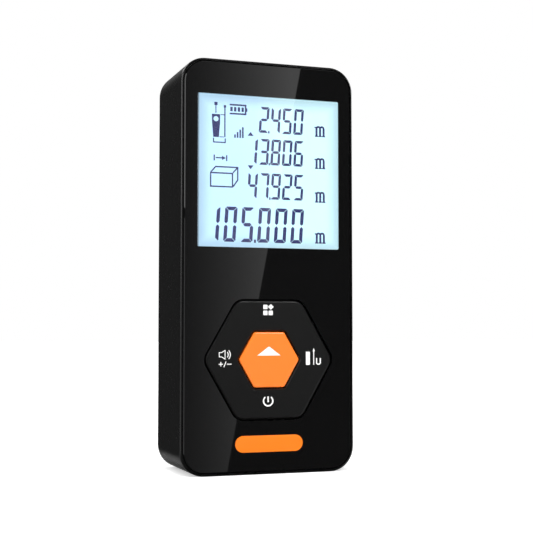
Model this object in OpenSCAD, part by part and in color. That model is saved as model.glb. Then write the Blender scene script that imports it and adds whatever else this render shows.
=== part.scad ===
// Pocket laser distance meter.
// Every piece is drawn lying on its back: X across, Y from the bottom end to the top end and Z
// towards the face. upright() then stands it on its bottom end, with its face towards -Y.

/* [Housing] */
// Height from the bottom end to the top end
body_h = 113; // [112:1:136]
// Width
body_w = 50; // [49:1:60]
// Depth from the front rim to the back
body_d = 26; // [26:1:32]
// Corner radius of the outline
corner_r = 6.8; // [5:0.1:8]
// Rounding of the front rim
front_round = 0.85; // [0.3:0.05:0.95]
// Rounding of the back edge
rear_round = 1.5; // [0.5:0.1:1.7]
// Thickness of the housing wall
wall = 1.8; // [1.5:0.1:2.2]
// Thickness of the rear cover
cover_t = 1.8; // [1.8:0.1:2.2]
// Thickness of the foam seal between housing and rear cover
seal_t = 0.2; // [0.1:0.05:0.3]

/* [Front panel] */
// Width of the rim that frames the panel
rim_w = 0.7; // [0.6:0.1:1.2]
// Gap between rim and panel
panel_gap = 0.1; // [0.1:0.05:0.3]
// How far the panel stands above the rim
panel_rise = 0.15; // [0.05:0.05:0.3]
// Thickness of the panel
panel_t = 1; // [0.8:0.1:1.2]
// Bevel of the panel's edge
panel_bevel = 0.35; // [0.1:0.05:0.4]
// Thickness of the tape that holds the panel
tape_t = 0.15; // [0.1:0.05:0.2]
// Thickness of the housing's front deck
deck_t = 1.2; // [1:0.1:1.5]
// Length of the inlaid name plate, which is bare
badge_l = 19.4; // [15:0.1:24]
// Height of the inlaid name plate
badge_h = 4.5; // [4:0.1:6]
// Height of the plate's centre above the bottom end
badge_y = 8.3; // [7:0.1:10]

/* [Display] */
// Width of the display window
window_w = 41; // [32:0.5:42]
// Height of the display window
window_h = 41.7; // [34:0.1:42]
// Distance from the top end down to the window
window_top = 9.8; // [9.5:0.1:11]
// Border of the display glass round the window
glass_border = 1.1; // [0.8:0.1:1.1]
// Height of the display glass's contact ledge
ledge_h = 2.6; // [2.2:0.1:3]
// Thickness of one of the display's two glasses
glass_t = 0.7; // [0.5:0.1:0.7]
// Thickness of the light guide
guide_t = 2; // [1.5:0.1:2.2]
// Thickness of the display holder's floor
tray_t = 0.6; // [0.5:0.1:1]

/* [Keys] */
// Height of the key group's centre above the bottom end
key_y = 31; // [30:0.1:32]
// Width of the function ring, from its inner to its outer edge
ring_band = 8.15; // [7.8:0.05:8.5]
// Rounding of the corners of the panel's opening for it
ring_corner = 3.9; // [2:0.1:5]
// Gap between that opening and the ring
ring_gap = 0.5; // [0.4:0.05:0.8]
// Start key, across its flats
start_flats = 15; // [14:0.1:16]
// Rounding of the start key's corners
start_corner = 0.9; // [0.6:0.1:1.5]
// Gap between the start key and the ring
start_gap = 0.35; // [0.3:0.05:0.5]
// Distance from the ring's outer flats in to each function's contact
contact_inset = 3; // [2.8:0.1:3.5]
// Diameter of a metal contact dome
dome_d = 5; // [4:0.5:5]
// Height of a metal contact dome
dome_h = 0.35; // [0.25:0.05:0.4]

/* [Board] */
// Thickness of the main board
board_t = 1; // [0.8:0.1:1.2]
// Gap between the board's edge and the wall
board_gap = 0.8; // [0.5:0.1:1.2]

/* [Optics] */
// Diameter of the receiving lens
receiver_d = 12; // [10:0.5:12]
// Diameter of the laser barrel
barrel_d = 8; // [7:0.5:8]
// Distance between the laser beam and the receiving lens's axis
beam_spacing = 16; // [15:0.5:16.5]
// Distance from the back up to the optical axes
optic_height = 9.9; // [9.5:0.1:10.5]
// Wall of the optics chassis round its bores
tunnel_wall = 1.2; // [1:0.1:1.4]
// Length of the receiving lens's tunnel
receiver_l = 43.4; // [40:0.1:46]
// Length of the laser barrel
barrel_l = 22; // [20:0.5:24]
// How far the window in the top end reaches past the optics, sideways
port_side = 2.2; // [1.5:0.1:2.4]
// How far it reaches past the receiving lens, to the front and to the back
port_edge = 1; // [0.5:0.1:1.2]
// Thickness of the window in the top end
port_t = 1; // [0.8:0.1:1.2]

/* [Batteries] */
// Length of a fitted contact spring
spring_l = 3.2; // [2.5:0.1:4]
// Width of the battery door
door_w = 30; // [28:0.5:31]
// Thickness of the battery door
door_t = 1.5; // [1.4:0.1:1.6]
// Gap round the battery door
door_gap = 0.15; // [0.1:0.05:0.3]

/* [Fasteners] */
// Diameter of the screws' thread
screw_d = 2; // [1.6:0.1:2.2]
// Diameter of the screws' head
head_d = 3.8; // [3.4:0.1:4]
// Height of the screws' head
head_h = 1.3; // [1:0.1:1.5]

/* [Hidden] */
$fn = 64;

// Levels, measured from the middle of the body towards the face
rim_z = body_d / 2;
panel_z = rim_z + panel_rise;
panel_back_z = panel_z - panel_t;
deck_z = panel_back_z - tape_t;
deck_back_z = deck_z - deck_t;
back_z = -body_d / 2;
cover_z = back_z + cover_t;
wall_end_z = cover_z + seal_t;
optic_z = back_z + optic_height;

// Outlines
inner_w = body_w - 2 * wall;
inner_h = body_h - 2 * wall;
inner_r = corner_r - wall;
panel_w = body_w - 2 * (rim_w + panel_gap);
panel_h = body_h - 2 * (rim_w + panel_gap);
panel_r = corner_r - rim_w - panel_gap;
mid_y = body_h / 2;

// Display stack
window_y = body_h - window_top - window_h / 2;
glass_w = window_w + 2 * glass_border;
glass_h = window_h + 2 * glass_border + ledge_h;
glass_y = window_y - ledge_h / 2;
rear_glass_h = glass_h - ledge_h;
film_t = 0.2;
film_w = window_w + 1;
film_h = window_h + 1;
glass_front_z = panel_back_z - 0.35 - film_t;
glass_back_z = glass_front_z - 2 * glass_t;
guide_front_z = glass_back_z - film_t;
guide_back_z = guide_front_z - guide_t;
sheet_t = 0.1;
board_z = guide_back_z - sheet_t - tray_t;
board_back_z = board_z - board_t;
fit = 0.1;
holder_w = glass_w + 1.2;
holder_h = glass_h + 1.4;
strip_w = window_w - 1.2;
strip_t = 1.7;
strip_y = glass_y - glass_h / 2 + ledge_h / 2;

// Keys: the ring rocks on two ribs, and the pad under it rocks on two ribs across those
ring_z = panel_z + 0.05;
start_z = ring_z + 0.1;
ring_hole = start_flats + 2 * start_gap;
ring_flats = ring_hole + 2 * ring_band;
ring_opening = ring_flats + 2 * ring_gap;
ring_hole_r = start_corner + start_gap;
flange_t = 0.8;
flange_z = deck_back_z - 0.85;
flange_back_z = flange_z - flange_t;
flange_flats = ring_opening + 1.4;
contact_reach = ring_flats / 2 - contact_inset;
start_flange_flats = ring_hole + 1;
start_flange_z = flange_back_z - 0.45;
start_flange_t = 0.7;
pad_t = 0.7;
pad_z = flange_back_z - 0.55;
pad_back_z = pad_z - pad_t;
pad_flats = ring_flats - 2;
pad_hole = start_flange_flats + 1.5;
dome_film_t = 0.1;
dome_t = 0.1;
rib_r = 0.5;
pad_rib_r = pad_back_z - board_z - dome_film_t - 0.05;
plunger_r = 1.2;
plunger_z = board_z + dome_h + 0.1;

// Posts, bosses and the ribs on the side walls
rib_rows = [26 : 18 : 98];
post_r = screw_d / 2 + 1.2;
head_r = head_d / 2;
head_hole_r = head_r + 0.2;
cup_r = head_hole_r + 0.9;
boss_x = body_w / 2 - wall - cup_r - 1;
boss_top_y = body_h - wall - cup_r - 0.8;
boss_bottom_y = wall + cup_r + 0.9;
boss_spots = [
    [-boss_x, boss_top_y], [boss_x, boss_top_y], [-boss_x, boss_bottom_y], [boss_x, boss_bottom_y]
];
cup_floor_z = back_z + 2.6;
cup_floor_t = 1.2;
boss_end_z = cup_floor_z + cup_floor_t + fit;
pilot_r = screw_d / 2 - 0.15;
clear_r = screw_d / 2 + 0.15;
board_spots = [[6.5 - body_w / 2, 13], [body_w / 2 - 6.5, 13]];

// Main board
board_w = inner_w - 2 * board_gap;
board_bottom_y = 9;
board_top_y = body_h - wall - board_gap;

// Optics: the laser and the receiving lens lie side by side behind the middle of the window
optics_w = barrel_d / 2 + beam_spacing + receiver_d / 2;
beam_x = (barrel_d - optics_w) / 2;
receiver_x = beam_x + beam_spacing;
tunnel_r = receiver_d / 2 + tunnel_wall;
barrel_r = barrel_d / 2;
beam_lens_r = barrel_r - 0.6;
beam_seat = 2.4;
laser_tunnel_r = barrel_r + tunnel_wall;
port_w = optics_w + 2 * port_side;
port_d = receiver_d + 2 * port_edge;
port_recess = 0.2;
port_seal_t = 0.2;
port_corner = 2;
port_depth = port_recess + port_t + port_seal_t;
port_pad_t = 1.2;
port_ledge = 1.1;
chassis_top_y = body_h - wall - port_pad_t - 0.6;
receiver_end_y = chassis_top_y - receiver_l;
laser_end_y = chassis_top_y - barrel_l - 2.4;
lens_seat_y = chassis_top_y - 4.6;
plate_z = board_back_z - 2.3;
plate_t = 1.2;
plate_y = receiver_end_y - 4;
foot_x = body_w / 2 - 5.5;
foot_y = plate_y - 7.8;
gap_x = (beam_x + barrel_d / 2 + receiver_x - receiver_d / 2) / 2;
chassis_spots = [
    [gap_x, chassis_top_y + 0.4 - post_r], [-foot_x, foot_y], [foot_x, foot_y]
];
socket_x = 12;
socket_y = receiver_end_y - 7.5;

// Battery bay for two AAA cells, moulded in the rear cover
cell_d = 10.5;
cell_l = 44.5;
bay_gap = 0.15;
cell_x = cell_d / 2 + bay_gap;
pad_foam_t = 0.4;
cell_z = back_z + door_t + pad_foam_t + cell_d / 2;
contact_t = 0.4;
dimple_h = 0.3;
bay_y = 5.4;
bay_l = cell_l + spring_l + 2 * contact_t + dimple_h;
bay_top_y = bay_y + bay_l;
bay_wall = 1;
trough_r = cell_d / 2 + bay_gap;
bay_w = 2 * (cell_x + trough_r);
contact_h = 6.8;
nub_l = 1;
nub_r = 2.6;

// Battery door: its lower edge is a full round about the hinge axis
door_hinge_y = 4.75;
door_hinge_z = back_z + door_t / 2;
door_top_y = bay_top_y + 4;
frame_w = door_w + 4;
frame_z = cover_z + 1;
rebate_z = back_z + door_t + fit;
hook_r = 2;
hook_w = 5;
hook_x = 8;
latch_w = 9.6;
latch_l = 8;
latch_gap = 0.2;
nib_l = 0.9;

module upright() rotate([90, 0, 0]) children();

// A slab of 2D shape between two levels
module layer(low, high) translate([0, 0, low]) linear_extrude(high - low) children();

module round_rect(w, h, r) {
    square([w - 2 * r, h], center = true);
    square([w, h - 2 * r], center = true);
    for (x = [-1, 1], y = [-1, 1])
        translate([x * (w / 2 - r), y * (h / 2 - r)]) circle(r);
}

module frame_2d(w, h, r, band) difference() {
    round_rect(w, h, r);
    round_rect(w - 2 * band, h - 2 * band, max(r - band, 0.2));
}

// Sweeps a section round a rounded rectangle; the section's x runs outwards from the corner centres
module sweep_rect(w, h, r) {
    for (side = [-1, 1]) {
        translate([side * (w / 2 - r), 0, 0]) rotate([0, 0, side > 0 ? 0 : 180])
            rotate([90, 0, 0]) linear_extrude(h - 2 * r, center = true) children();
        translate([0, side * (h / 2 - r), 0]) rotate([0, 0, side * 90])
            rotate([90, 0, 0]) linear_extrude(w - 2 * r, center = true) children();
    }
    for (turn = [0 : 3]) {
        x = turn == 0 || turn == 3 ? 1 : -1;
        y = turn < 2 ? 1 : -1;
        translate([x * (w / 2 - r), y * (h / 2 - r), 0]) rotate([0, 0, 90 * turn])
            rotate_extrude(angle = 90) children();
    }
}

// Outline of a flat-topped hexagon with rounded corners
hexagon_steps = 10;
function hexagon_points(flats, r) = [
    for (turn = [0 : 5], k = [0 : hexagon_steps])
        let(a = 60 * turn - 30 + 60 * k / hexagon_steps, out = (flats / 2 - r) / cos(30))
        [out * cos(60 * turn) + r * cos(a), out * sin(60 * turn) + r * sin(a)]
];

module hexagon(flats, r) polygon(hexagon_points(flats, r));

// A hexagonal solid through levels of [flats, corner radius, height]
module hexagon_loft(levels) {
    n = 6 * (hexagon_steps + 1);
    rings = [for (level = levels, p = hexagon_points(level[0], level[1])) [p[0], p[1], level[2]]];
    walls = [for (k = [0 : len(levels) - 2], s = [0 : n - 1])
        let(a = k * n + s, b = k * n + (s + 1) % n) [a, a + n, b + n, b]];
    base = [for (s = [0 : n - 1]) s];
    crown = [for (s = [0 : n - 1]) len(rings) - 1 - s];
    polyhedron(rings, concat([base, crown], walls));
}

// Section of a rounded edge, t thick, with its front and back edges rounded
module round_section(reach, t, front, back) difference() {
    square([reach, t]);
    if (front > 0) translate([reach, t]) rotate(180) fillet_waste(front);
    if (back > 0) translate([reach, 0]) rotate(90) fillet_waste(back);
}

module fillet_waste(r) difference() {
    translate([-1, -1]) square(r + 1);
    translate([r, r]) circle(r);
}

// Section of a bevelled edge, t thick
module bevel_section(reach, t, bevel)
    polygon([[0, 0], [reach, 0], [reach, t - bevel], [reach - bevel, t], [0, t]]);

module round_slab(w, h, r, t, front = 0, back = 0) {
    linear_extrude(t) square([w - 2 * r, h - 2 * r], center = true);
    sweep_rect(w, h, r) round_section(r, t, front, back);
}

module bevel_slab(w, h, r, t, bevel) {
    linear_extrude(t) square([w - 2 * r, h - 2 * r], center = true);
    sweep_rect(w, h, r) bevel_section(r, t, bevel);
}

// A hexagonal slab whose upper edge is rounded, in wide and down deep
module round_hexagon(flats, r, t, in, down) {
    steps = 5;
    hexagon_loft([[flats, r, 0], for (k = [0 : steps])
        let(a = 90 * k / steps, back = in * (1 - cos(a)))
        [flats - 2 * back, r - back, t - down * (1 - sin(a))]]);
}

// A cylinder along the body's length, from y to y + l
module lengthwise(x, y, z, r, l) translate([x, y, z]) rotate([-90, 0, 0]) cylinder(r = r, h = l);

// A screw with its head at the back: the head's underside is at seat_z and the thread points forwards
module screw(seat_z, length) {
    slot_w = 0.5;
    translate([0, 0, seat_z]) cylinder(r = screw_d / 2 - 0.2, h = length);
    difference() {
        translate([0, 0, seat_z - head_h]) cylinder(r = head_r, h = head_h);
        for (turn = [0, 90]) rotate([0, 0, turn])
            translate([0, 0, seat_z - head_h]) cube([2.2, slot_w, 1.3], center = true);
    }
}

module housing_shell() difference() {
    translate([0, mid_y, wall_end_z])
        round_slab(body_w, body_h, corner_r, rim_z - wall_end_z, front_round, 0);
    translate([0, mid_y, 0]) layer(wall_end_z - 1, deck_back_z) round_rect(inner_w, inner_h, inner_r);
    translate([0, mid_y, 0]) layer(deck_z, rim_z + 1)
        round_rect(body_w - 2 * rim_w, body_h - 2 * rim_w, corner_r - rim_w);
    translate([0, glass_y, 0]) layer(deck_back_z - 1, deck_z + 1)
        square([glass_w + 6 * fit, glass_h + 6 * fit], center = true);
    translate([0, key_y, 0]) layer(deck_back_z - 1, deck_z + 1) hexagon(ring_opening, ring_corner);
}

// The window in the top end: a rebate from outside and a smaller opening through the wall
module port_outline(grow) translate([0, optic_z])
    round_rect(port_w + 2 * grow, port_d + 2 * grow, port_corner + grow);

module across_top(y, t) translate([0, y + t, 0]) rotate([90, 0, 0]) linear_extrude(t) children();

module main_housing() color("#1c1c1d") upright() {
    difference() {
        union() {
            housing_shell();
            intersection() {
                across_top(body_h - wall - port_pad_t, port_pad_t + wall / 2) port_outline(1.1);
                translate([-body_w / 2, 0, wall_end_z]) cube([body_w, body_h, body_d]);
            }
            for (spot = boss_spots) translate(spot) layer(boss_end_z, deck_back_z + deck_t / 2) {
                circle(post_r);
                toward = [sign(spot[0]), spot[1] > mid_y ? 1 : -1];
                translate([toward[0] * post_r, 0]) square([2 * post_r, 1], center = true);
                translate([0, toward[1] * post_r]) square([1, 2 * post_r], center = true);
            }
            for (spot = concat(board_spots, chassis_spots)) translate(spot)
                layer(board_z, deck_back_z + deck_t / 2) circle(post_r);
            // ribs that stiffen the side walls behind the board
            for (side = [-1, 1], y = rib_rows)
                translate([side * (inner_w / 2 - 0.2), y, (wall_end_z + board_back_z) / 2])
                    cube([1.4, 1.2, board_back_z - wall_end_z - 4], center = true);
        }
        across_top(body_h - port_depth, port_depth + 1) port_outline(fit);
        across_top(body_h - wall - port_pad_t - 1, wall + port_pad_t + 2) port_outline(-port_ledge);
        for (spot = boss_spots) translate([spot[0], spot[1], boss_end_z - 1]) cylinder(r = pilot_r, h = 11);
        for (spot = concat(board_spots, chassis_spots))
            translate([spot[0], spot[1], board_z - 1]) cylinder(r = pilot_r, h = deck_back_z - board_z + 1.6);
    }
}

module bay_section(grow) {
    for (side = [-1, 1]) translate([side * cell_x, cell_z]) circle(trough_r + grow);
    translate([-bay_w / 2 - grow, back_z - 1]) square([bay_w + 2 * grow, cell_z - back_z + 1]);
    translate([-cell_x, back_z - 1]) square([2 * cell_x, cell_z - back_z + 1 + contact_h / 2]);
}

module rear_cover() color("#1c1c1d") upright() {
    difference() {
        union() {
            translate([0, mid_y, back_z])
                round_slab(body_w, body_h, corner_r, cover_t, 0, rear_round);
            // locating lip inside the housing wall
            difference() {
                translate([0, mid_y, 0]) layer(cover_z - 0.5, cover_z + 1.4)
                    frame_2d(inner_w - 2 * fit, inner_h - 2 * fit, inner_r - fit, 1);
                translate([0, inner_h, cover_z + 1]) cube([port_w + 5, 12, 3], center = true);
                for (side = [-1, 1], y = rib_rows)
                    translate([side * inner_w / 2, y, cover_z + 1]) cube([4, 2, 2], center = true);
            }
            for (spot = boss_spots) translate([spot[0], spot[1], cover_z - 0.5])
                cylinder(r = cup_r, h = cup_floor_z + cup_floor_t - cover_z + 0.5);
            // thicker frame round the battery door
            layer(cover_z - 0.5, frame_z) translate([-frame_w / 2, wall + 0.2])
                square([frame_w, door_top_y + 2.2 - wall]);
            // battery bay
            intersection() {
                across_top(bay_y - bay_wall, bay_l + 2 * bay_wall) bay_section(bay_wall);
                translate([-bay_w, 0, cover_z - 0.5]) cube([2 * bay_w, body_h, body_d]);
            }
        }
        // room for the cells, open at the back
        across_top(bay_y, bay_l) bay_section(0);
        // seat of the door, with a round end for its hinged edge
        translate([-door_w / 2 - door_gap, door_hinge_y, back_z - 1])
            cube([door_w + 2 * door_gap, door_top_y + door_gap - door_hinge_y, rebate_z - back_z + 1]);
        translate([-door_w / 2 - door_gap, door_hinge_y, door_hinge_z]) rotate([0, 90, 0])
            cylinder(r = door_t / 2 + door_gap, h = door_w + 2 * door_gap);
        translate([-door_w / 2 - door_gap, door_hinge_y - door_t / 2 - door_gap, back_z - 1])
            cube([door_w + 2 * door_gap, door_t, 1 + door_t / 2]);
        // pockets in which the door's hooks turn
        for (side = [-1, 1]) intersection() {
            translate([side * hook_x, door_hinge_y, door_hinge_z]) rotate([0, 90, 0])
                cylinder(r = hook_r + door_gap, h = hook_w + 2 * door_gap, center = true);
            translate([side * hook_x, door_hinge_y, door_hinge_z + 5.2]) cube(10, center = true);
        }
        // catch for the latch's nib, and the slots for the contacts' legs
        translate([-latch_w / 2, door_top_y - 1, back_z + 0.9]) cube([latch_w, nib_l + 1.3, door_t]);
        for (side = [-1, 1]) translate([side * cell_x, bay_top_y - contact_t / 2, cell_z + trough_r])
            cube([2.4, contact_t + 0.2, 4], center = true);
        for (spot = boss_spots) translate([spot[0], spot[1], back_z - 1]) {
            cylinder(r = head_hole_r, h = cup_floor_z - back_z + 1);
            cylinder(r = clear_r, h = body_d / 2);
        }
    }
}

module housing_seal() color("#303030") upright()
    translate([0, mid_y, 0]) layer(cover_z, wall_end_z)
        frame_2d(body_w - 0.8, body_h - 0.8, corner_r - 0.4, wall - 0.6);

module case_screws() color("#8a8c90") upright()
    for (spot = boss_spots) translate(spot) screw(cup_floor_z, 10);

module front_panel() color("#141414") upright() difference() {
    translate([0, mid_y, panel_back_z]) bevel_slab(panel_w, panel_h, panel_r, panel_t, panel_bevel);
    translate([0, window_y, 0]) layer(panel_back_z - 1, panel_z + 1) round_rect(window_w, window_h, 0.4);
    translate([0, window_y, 0]) layer(panel_back_z - 1, panel_back_z + panel_t / 2)
        round_rect(window_w + 1.4, window_h + 1.4, 0.6);
    translate([0, key_y, 0]) layer(panel_back_z - 1, panel_z + 1) hexagon(ring_opening, ring_corner);
    translate([0, badge_y, 0]) layer(panel_z - 0.45, panel_z + 1)
        round_rect(badge_l + 2 * fit, badge_h + 2 * fit, badge_h / 2 + fit - 0.01);
}

module panel_tape() color("#2a2a2a") upright() difference() {
    translate([0, mid_y, 0]) layer(deck_z, panel_back_z)
        round_rect(panel_w - 0.6, panel_h - 0.6, panel_r - 0.3);
    translate([0, glass_y, 0]) layer(deck_z - 1, panel_back_z + 1)
        square([glass_w + 6 * fit, glass_h + 6 * fit], center = true);
    translate([0, key_y, 0]) layer(deck_z - 1, panel_back_z + 1) hexagon(ring_opening + 0.6, ring_corner);
}

// A stepped pane, flush with the panel and held by its wider back
module display_window() color("#dfe9ee", 0.4) upright() translate([0, window_y, 0]) {
    layer(panel_back_z + panel_t / 2 - 0.05, panel_z) round_rect(window_w - 0.06, window_h - 0.06, 0.37);
    layer(panel_back_z, panel_back_z + panel_t / 2 - 0.05)
        round_rect(window_w + 1.4 - 2 * fit, window_h + 1.4 - 2 * fit, 0.5);
}

module badge_plate() color("#f4812b") upright()
    translate([0, badge_y, panel_z - 0.45]) round_slab(badge_l, badge_h, badge_h / 2 - 0.01, 0.5, 0.15, 0);

module start_key() color("#f98636") upright() translate([0, key_y, 0]) {
    difference() {
        union() {
            translate([0, 0, start_flange_z - 0.1])
                round_hexagon(start_flats, start_corner, start_z - start_flange_z + 0.1, 0.6, 0.4);
            layer(start_flange_z - start_flange_t, start_flange_z) hexagon(start_flange_flats, start_corner);
        }
        layer(start_flange_z - start_flange_t - 1, start_z - 1.6) hexagon(start_flats - 2.8, 0.4);
    }
    layer(plunger_z, start_z - 1.2) circle(plunger_r);
    for (turn = [0 : 60 : 120]) rotate([0, 0, turn])
        translate([0, 0, (start_flange_z + start_z - 1.2) / 2])
            cube([start_flats - 2, 0.8, start_z - 1.2 - start_flange_z], center = true);
}

module ring_key() color("#232325") upright() translate([0, key_y, 0]) {
    channel_z = ring_z - 1.5;
    difference() {
        union() {
            translate([0, 0, flange_back_z])
                round_hexagon(ring_flats, ring_corner - ring_gap, ring_z - flange_back_z, 0.5, 0.4);
            layer(flange_back_z, flange_z) hexagon(flange_flats, ring_corner);
        }
        // hole for the start key, its front edge bevelled
        hexagon_loft([
            [ring_hole, ring_hole_r, flange_back_z - 1], [ring_hole, ring_hole_r, ring_z - 0.25],
            [ring_hole + 2.5, ring_hole_r + 1.25, ring_z + 1]
        ]);
        // hollow underside between the outer and the inner wall
        difference() {
            layer(flange_back_z - 1, channel_z) hexagon(ring_flats - 2.8, 2);
            layer(flange_back_z - 2, channel_z + 1) hexagon(ring_hole + 2.6, 1.5);
        }
    }
    for (turn = [0 : 90 : 270]) rotate([0, 0, turn]) {
        layer_top = channel_z + 0.2;
        web_x = ring_hole / 2 + 1.1;
        web_t = 0.9;
        translate([contact_reach, 0, 0]) layer(plunger_z, layer_top) circle(plunger_r);
        translate([web_x, -web_t / 2, flange_back_z])
            cube([contact_reach - web_x, web_t, layer_top - flange_back_z]);
    }
    // ribs on which the ring rocks
    for (side = [-1, 1]) translate([side * (ring_hole / 2 + 2.9), 0, flange_back_z]) rotate([0, 90, 0])
        cylinder(r = rib_r, h = 1.1, center = true);
}

module ring_pad() color("#3a3a3d") upright() translate([0, key_y, 0]) {
    layer(pad_back_z, pad_z) difference() {
        hexagon(pad_flats, 3);
        hexagon(pad_hole, 1.5);
        for (turn = [0 : 90 : 270]) rotate(turn) translate([contact_reach, 0]) circle(plunger_r + 0.4);
    }
    for (side = [-1, 1]) translate([0, side * (pad_hole / 2 + 0.6), pad_back_z]) rotate([90, 0, 0])
        cylinder(r = pad_rib_r, h = 1.1, center = true);
}

// A thin snap dome whose crown is dome_h above the board
module contact_dome() {
    dome_r = dome_d / 2;
    ball_r = (dome_r * dome_r + dome_h * dome_h) / (2 * dome_h);
    translate([0, 0, board_z]) rotate_extrude() intersection() {
        translate([0, dome_h - ball_r]) difference() {
            circle(ball_r, $fn = 720);
            circle(ball_r - dome_t, $fn = 720);
        }
        square([dome_r + 1, dome_h + 1]);
    }
}

module start_dome() color("#b9bcc0") upright() translate([0, key_y, 0]) contact_dome();

module vertical_domes() color("#b9bcc0") upright()
    for (side = [-1, 1]) translate([0, key_y + side * contact_reach, 0]) contact_dome();

module side_domes() color("#b9bcc0") upright()
    for (side = [-1, 1]) translate([side * contact_reach, key_y, 0]) contact_dome();

module dome_film() color("#cfcac0", 0.6) upright() translate([0, key_y, 0])
    layer(board_z, board_z + dome_film_t) difference() {
        hexagon(pad_flats + 4, 3);
        circle(dome_d / 2 + 0.1);
        for (turn = [0 : 90 : 270]) rotate(turn) translate([contact_reach, 0]) circle(dome_d / 2 + 0.1);
    }

// Foam frame between the glass and the panel, round the front polarizer
module display_gasket() color("#202020") upright() translate([0, window_y, 0])
    layer(glass_front_z, panel_back_z) difference() {
        square([glass_w, rear_glass_h], center = true);
        square([film_w + 2 * fit, film_h + 2 * fit], center = true);
    }

module front_polarizer() color("#c9ecf4") upright() translate([0, window_y, 0])
    layer(glass_front_z, glass_front_z + film_t) square([film_w, film_h], center = true);

// Two bonded glasses; the front one has the contact ledge
module display_glass() color("#d5f0f5") upright() {
    translate([0, glass_y, 0]) layer(glass_front_z - glass_t, glass_front_z)
        square([glass_w, glass_h], center = true);
    translate([0, window_y, 0]) layer(glass_back_z, glass_front_z - glass_t)
        square([glass_w, rear_glass_h], center = true);
}

module rear_polarizer() color("#b7d3da") upright() translate([0, window_y, 0])
    layer(guide_front_z, glass_back_z) square([film_w, film_h], center = true);

module light_guide() color("#eaf6fa", 0.8) upright() translate([0, window_y, 0])
    layer(guide_back_z, guide_front_z) difference() {
        square([film_w, film_h], center = true);
        for (side = [-1, 1]) translate([side * window_w / 4, -film_h / 2]) square([3.4, 2.4], center = true);
    }

module reflector_sheet() color("#f4f5f5") upright() translate([0, window_y, 0])
    layer(guide_back_z - sheet_t, guide_back_z) square([film_w, film_h], center = true);

module display_holder() color("#f0f1ee") upright() difference() {
    translate([0, glass_y, 0]) layer(board_z, glass_front_z - glass_t - fit)
        round_rect(holder_w, holder_h, 0.8);
    translate([0, glass_y, 0]) layer(glass_back_z, rim_z)
        square([glass_w + fit, glass_h + fit], center = true);
    translate([0, window_y, 0]) layer(guide_back_z - sheet_t, rim_z)
        square([film_w + fit, film_h + fit], center = true);
    // windows in the floor save material and clear the board's solder
    for (x = [-1, 0, 1], y = [-1, 1]) translate([x * 13, window_y + y * 10, 0])
        layer(board_z - 1, rim_z) round_rect(10, 16, 1.5);
    translate([0, strip_y, 0]) layer(board_z - 1, rim_z)
        square([strip_w + 2 * fit, strip_t + 2 * fit], center = true);
}

module contact_strip() color("#b5553c") upright() translate([0, strip_y, 0])
    layer(board_z, glass_front_z - glass_t) square([strip_w, strip_t], center = true);

module backlight_lamps() color("#f6f2d8") upright()
    for (side = [-1, 1]) translate([side * window_w / 4, window_y - film_h / 2 + 0.55, 0])
        layer(guide_back_z, guide_front_z - 0.4) square([3, 1], center = true);

module main_board() color("#1f5a3a") upright() difference() {
    layer(board_back_z, board_z) translate([0, (board_top_y + board_bottom_y) / 2]) difference() {
        round_rect(board_w, board_top_y - board_bottom_y, inner_r - board_gap);
        notch = [board_w / 2 - boss_x, board_top_y - boss_top_y] + (post_r + 0.6) * [1, 1];
        for (side = [-1, 1]) translate([side * board_w / 2, (board_top_y - board_bottom_y) / 2])
            round_rect(2 * notch[0], 2 * notch[1], 1);
    }
    for (spot = concat(board_spots, chassis_spots)) translate([spot[0], spot[1], board_back_z - 1])
        cylinder(r = clear_r, h = board_t + 2);
}

// A chip body with gull-wing legs along two sides
module chip(w, l, h, legs) {
    pitch = (l - 1) / (legs - 1);
    translate([0, 0, -h]) linear_extrude(h - 0.1) square([w, l], center = true);
    for (side = [-1, 1], leg = [0 : legs - 1])
        translate([side * (w / 2 + 0.4), (leg - (legs - 1) / 2) * pitch, -0.25])
            cube([1, pitch / 2, 0.5], center = true);
}

module controller_chip() color("#26282a") upright() translate([0, 38, board_back_z]) {
    chip(9, 9, 1.5, 10);
    rotate([0, 0, 90]) chip(8.8, 8.8, 1.4, 10);
}

module board_chips() color("#2b2d30") upright() {
    translate([-15, 40, board_back_z]) chip(4, 5, 1.5, 4);
    translate([14.5, 41, board_back_z]) chip(4, 6, 1.6, 5);
    translate([15, 19, board_back_z]) rotate([0, 0, 90]) chip(3, 4, 1.2, 3);
}

module clock_crystal() color("#c7c9cc") upright() translate([10, 29, board_back_z - 3.4])
    round_slab(9, 3.8, 1.85, 3.4, 0, 0.4);

module buzzer() color("#1f1f20") upright() translate([-15.5, 26, board_back_z - 4]) difference() {
    cylinder(r = 4.5, h = 4);
    translate([0, 0, -1]) cylinder(r = 0.9, h = 2.2);
}

module shield_can() color("#c3c6c8") upright() translate([0, 21.5, board_back_z - 2.4]) difference() {
    round_slab(14, 12, 1.2, 2.4, 0, 0.5);
    translate([0, 0, 0.3]) linear_extrude(3) round_rect(13.4, 11.4, 0.9);
    for (x = [-4, 0, 4], y = [-3, 0, 3]) translate([x, y, -1]) cylinder(r = 0.6, h = 2);
}

module board_socket() color("#e6e3d8") upright() translate([socket_x, socket_y, board_back_z - 1.9])
    difference() {
        translate([-4, -1.9, 0]) cube([8, 3.8, 1.9]);
        translate([-3.4, 0.6, 0.7]) cube([6.8, 2, 0.7]);
    }

module board_screws() color("#8a8c90") upright()
    for (spot = board_spots) translate(spot) screw(board_back_z, 4.4);

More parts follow.
